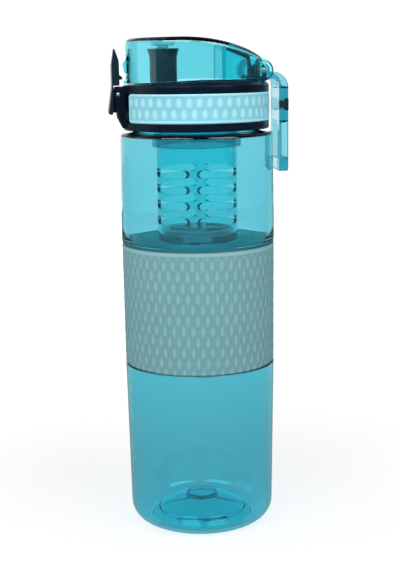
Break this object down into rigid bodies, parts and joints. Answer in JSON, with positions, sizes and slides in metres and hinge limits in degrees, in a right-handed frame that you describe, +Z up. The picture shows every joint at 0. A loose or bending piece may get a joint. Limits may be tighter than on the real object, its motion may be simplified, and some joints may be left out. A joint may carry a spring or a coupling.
{
  "type": "fruit infuser water bottle",
  "caption": "Clear tinted water bottle with a grip sleeve, screw lid, latched flip cap over a spout, carry loop and a slotted fruit infuser hanging inside.",
  "frame": {"origin": "centre of the foot ring, on the bottle's axis at the table", "axes": "+Z up along the bottle's axis, -X towards the latch, +X towards the hinge and the carry loop"},
  "size_m": [0.0835, 0.073, 0.2345],
  "materials": {
    "clear_teal": "clear tinted copolyester, polished",
    "aqua_silicone": "embossed satin silicone",
    "dark_plastic": "dark navy moulded plastic, semi-gloss",
    "spout_plastic": "dark moulded plastic, glossy",
    "badge_plastic": "plain dark insert",
    "seal_silicone": "translucent food-grade silicone",
    "pin_steel": "drawn stainless steel"
  },
  "bodies": {
    "bottle": {"bottle_body": "clear_teal", "grip_sleeve": "aqua_silicone"},
    "gasket": {"neck_gasket": "seal_silicone"},
    "seal_ring": {"infuser_seal": "seal_silicone"},
    "lid": {"lid_shell": "dark_plastic", "lid_band": "aqua_silicone", "lid_insert": "dark_plastic", "drinking_spout": "spout_plastic", "hinge_pin": "pin_steel", "latch_pin": "pin_steel", "latch_spring": "pin_steel", "infuser_collar": "clear_teal"},
    "cap": {"flip_cap": "clear_teal", "spout_seal": "seal_silicone"},
    "latch": {"latch": "dark_plastic"},
    "loop": {"carry_loop": "clear_teal", "loop_badge": "badge_plastic"},
    "infuser": {"infuser_tube": "clear_teal", "infuser_base": "clear_teal"}
  },
  "joints": [
    {"name": "lid_lift", "type": "slide", "parent": "bottle", "child": "gasket", "axis": [0, 0, 1], "range_m": [0, 0.08]},
    {"name": "thread_rise", "type": "slide", "parent": "gasket", "child": "seal_ring", "axis": [0, 0, 1], "range_m": [0, 0.00501]},
    {"name": "lid_turn", "type": "hinge", "parent": "seal_ring", "child": "lid", "pos_m": [0, 0, 0.2], "axis": [0, 0, 1], "range_deg": [0, 450]},
    {"name": "cap_hinge", "type": "hinge", "parent": "lid", "child": "cap", "pos_m": [0.0297, 0, 0.219], "axis": [0, 1, 0], "range_deg": [0, 110]},
    {"name": "latch_pivot", "type": "hinge", "parent": "lid", "child": "latch", "pos_m": [-0.0368, 0, 0.209], "axis": [0, -1, 0], "range_deg": [0, 10], "stiffness_Nm_per_rad": 0.05, "deforming": ["latch_spring"]},
    {"name": "loop_swing", "type": "hinge", "parent": "lid", "child": "loop", "pos_m": [0.0297, 0, 0.219], "axis": [0, -1, 0], "range_deg": [0, 70]},
    {"name": "infuser_turn", "type": "hinge", "parent": "lid", "child": "infuser", "pos_m": [0, 0, 0.19], "axis": [0, 0, -1], "range_deg": [0, 90]}
  ],
  "couplings": [
    {"joint": "thread_rise", "follows": "lid_turn", "m_per_rad": 0.00063662}
  ]
}
